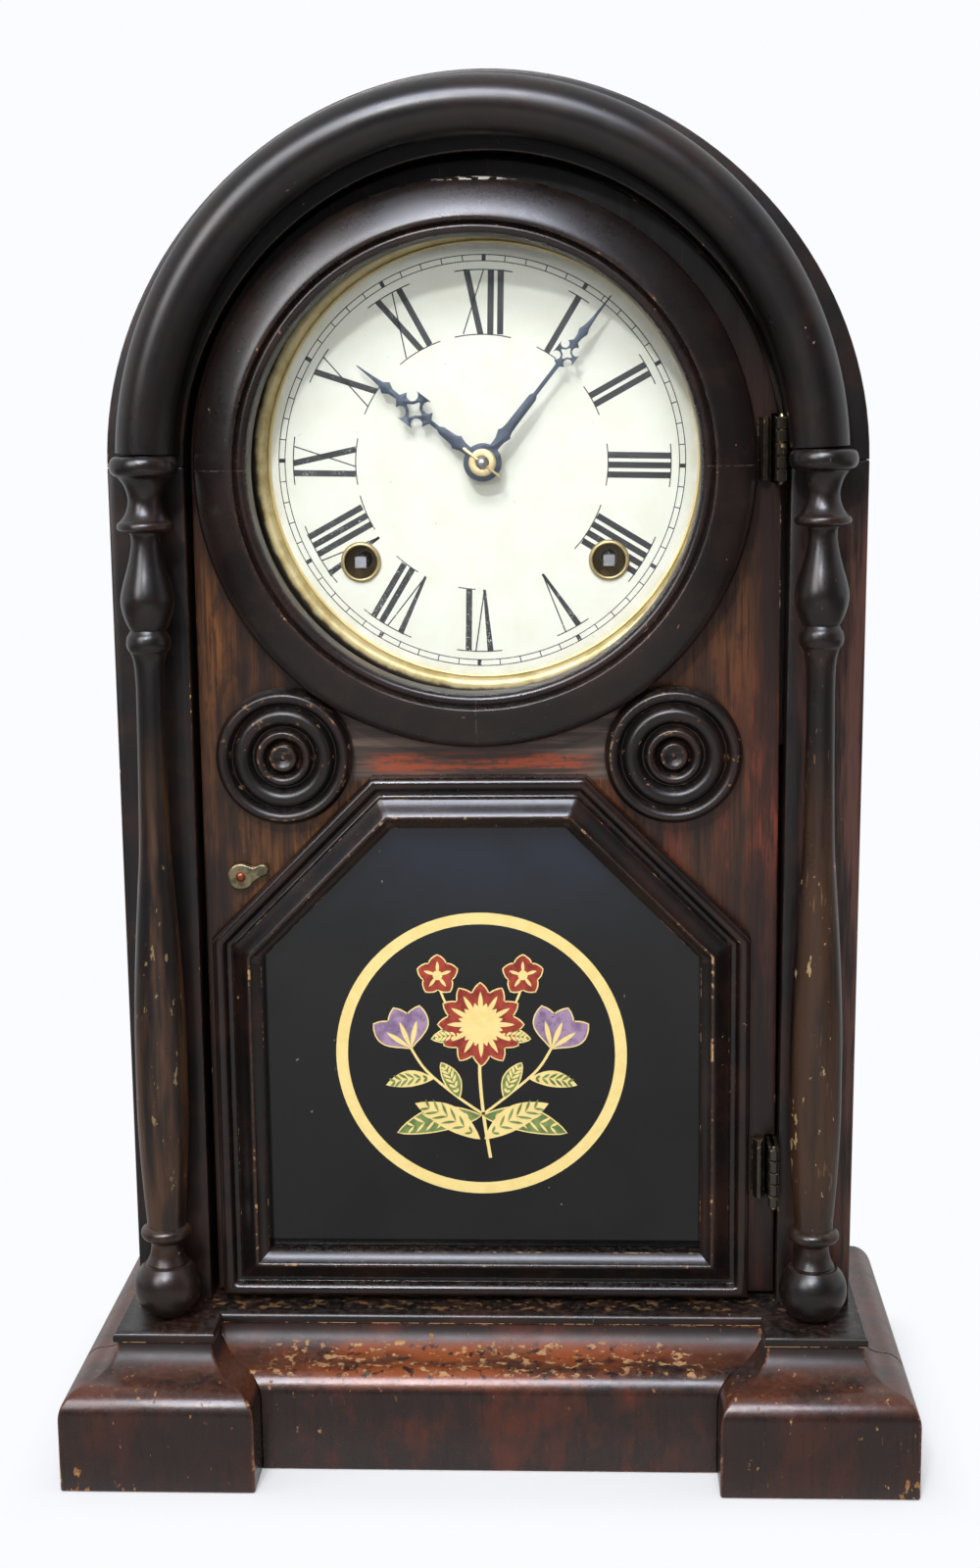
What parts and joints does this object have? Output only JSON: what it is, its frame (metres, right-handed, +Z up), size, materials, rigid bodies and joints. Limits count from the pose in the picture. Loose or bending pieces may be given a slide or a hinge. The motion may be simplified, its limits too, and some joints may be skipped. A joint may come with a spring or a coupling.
{
  "type": "shelf clock",
  "caption": "Round-top wooden shelf clock with turned columns, a hinged glazed door, painted dial, hands, winding arbors and a striking pendulum movement.",
  "frame": {"origin": "middle of the base, on the surface that the clock stands on", "axes": "+Z up, -Y to the front where the dial faces, +X to the right seen from the front"},
  "size_m": [0.2542, 0.121, 0.4117],
  "materials": {
    "ebonised_wood": "satin ebonised polish",
    "plinth_veneer": "worn dark polish",
    "rosewood_veneer": "polished veneer",
    "pine": "planed",
    "dial_paint": "cream paint on zinc",
    "brass": "dull",
    "steel": "plain",
    "blackened_steel": "black",
    "hinge_iron": "worn black",
    "clear_glass": "clear",
    "black_glass": "painted black behind"
  },
  "bodies": {
    "case": {"foot_block_left": "plinth_veneer", "foot_block_right": "plinth_veneer", "plinth_front": "plinth_veneer", "plinth_side_left": "plinth_veneer", "plinth_side_right": "plinth_veneer", "plinth_back": "pine", "plinth_top": "plinth_veneer", "stile_left": "ebonised_wood", "stile_right": "ebonised_wood", "arch_frame": "ebonised_wood", "side_board_left": "ebonised_wood", "side_board_right": "ebonised_wood", "arch_top": "ebonised_wood", "back_board": "pine", "arch_moulding": "ebonised_wood", "column_left": "ebonised_wood", "column_right": "ebonised_wood", "hinge_upper_case_leaf": "hinge_iron", "hinge_upper_pin": "hinge_iron", "hinge_lower_case_leaf": "hinge_iron", "hinge_lower_pin": "hinge_iron", "dial_plate": "dial_paint", "dial_rim": "brass", "grommet_left": "brass", "grommet_right": "brass", "dial_cleat_left": "pine", "dial_cleat_right": "pine", "front_plate": "brass", "back_plate": "brass", "time_mainspring": "steel", "strike_mainspring": "steel", "suspension_cock": "brass", "gong": "steel", "gong_stand": "hinge_iron"},
    "door": {"door_board": "rosewood_veneer", "bezel_ring": "ebonised_wood", "dial_glass": "clear_glass", "tablet_moulding": "ebonised_wood", "tablet_glass": "black_glass", "rosette_left": "ebonised_wood", "rosette_right": "ebonised_wood", "hinge_upper_door_leaf": "hinge_iron", "hinge_lower_door_leaf": "hinge_iron"},
    "latch": {"latch_knob": "brass", "latch_arm": "brass"},
    "minute": {"minute_hand": "blackened_steel", "hand_washer": "brass", "taper_pin": "brass", "centre_arbor": "steel"},
    "hour": {"hour_hand": "blackened_steel", "hour_wheel": "brass"},
    "motion_wheel": {"minute_wheel": "brass"},
    "time_winder": {"time_arbor": "steel"},
    "strike_winder": {"strike_arbor": "steel"},
    "escape": {"escape_wheel": "brass"},
    "verge_body": {"verge": "steel"},
    "pendulum": {"pendulum_rod": "steel", "pendulum_bob": "brass"},
    "hammer_body": {"hammer": "steel"}
  },
  "joints": [
    {"name": "door_swing", "type": "hinge", "parent": "case", "child": "door", "pos_m": [0.0865, -0.0235, 0.045], "axis": [0, 0, 1], "range_deg": [0, 95]},
    {"name": "latch_turn", "type": "hinge", "parent": "door", "child": "latch", "pos_m": [-0.0745, -0.0125, 0.17716], "axis": [0, 1, 0], "range_deg": [-180, 0]},
    {"name": "minute_turn", "type": "hinge", "parent": "case", "child": "minute", "pos_m": [0, -0.0005, 0.3005], "axis": [0, 1, 0], "continuous": true},
    {"name": "hour_turn", "type": "hinge", "parent": "case", "child": "hour", "pos_m": [0, -0.0005, 0.3005], "axis": [0, 1, 0], "continuous": true},
    {"name": "motion_wheel_turn", "type": "hinge", "parent": "case", "child": "motion_wheel", "pos_m": [-0.01212, 0.0007, 0.3075], "axis": [0, 1, 0], "continuous": true},
    {"name": "time_wind", "type": "hinge", "parent": "case", "child": "time_winder", "pos_m": [0.0373, -0.0005, 0.271], "axis": [0, 1, 0], "continuous": true},
    {"name": "strike_wind", "type": "hinge", "parent": "case", "child": "strike_winder", "pos_m": [-0.0373, -0.0005, 0.271], "axis": [0, 1, 0], "continuous": true},
    {"name": "escape_turn", "type": "hinge", "parent": "case", "child": "escape", "pos_m": [0, 0.009, 0.2555], "axis": [0, 1, 0], "continuous": true},
    {"name": "pendulum_swing", "type": "hinge", "parent": "case", "child": "pendulum", "pos_m": [0, 0.0026, 0.283], "axis": [0, 1, 0], "range_deg": [-4, 4]},
    {"name": "verge_rock", "type": "hinge", "parent": "case", "child": "verge_body", "pos_m": [0, 0.009, 0.272], "axis": [0, 1, 0], "range_deg": [-6, 6]},
    {"name": "hammer_lift", "type": "hinge", "parent": "case", "child": "hammer_body", "pos_m": [-0.012, 0.0387, 0.2565], "axis": [0, 1, 0], "range_deg": [0, 12]}
  ],
  "couplings": [
    {"joint": "hour_turn", "follows": "minute_turn", "ratio": 0.083333},
    {"joint": "motion_wheel_turn", "follows": "minute_turn", "ratio": -0.33333},
    {"joint": "verge_rock", "follows": "pendulum_swing", "ratio": 1.37}
  ]
}
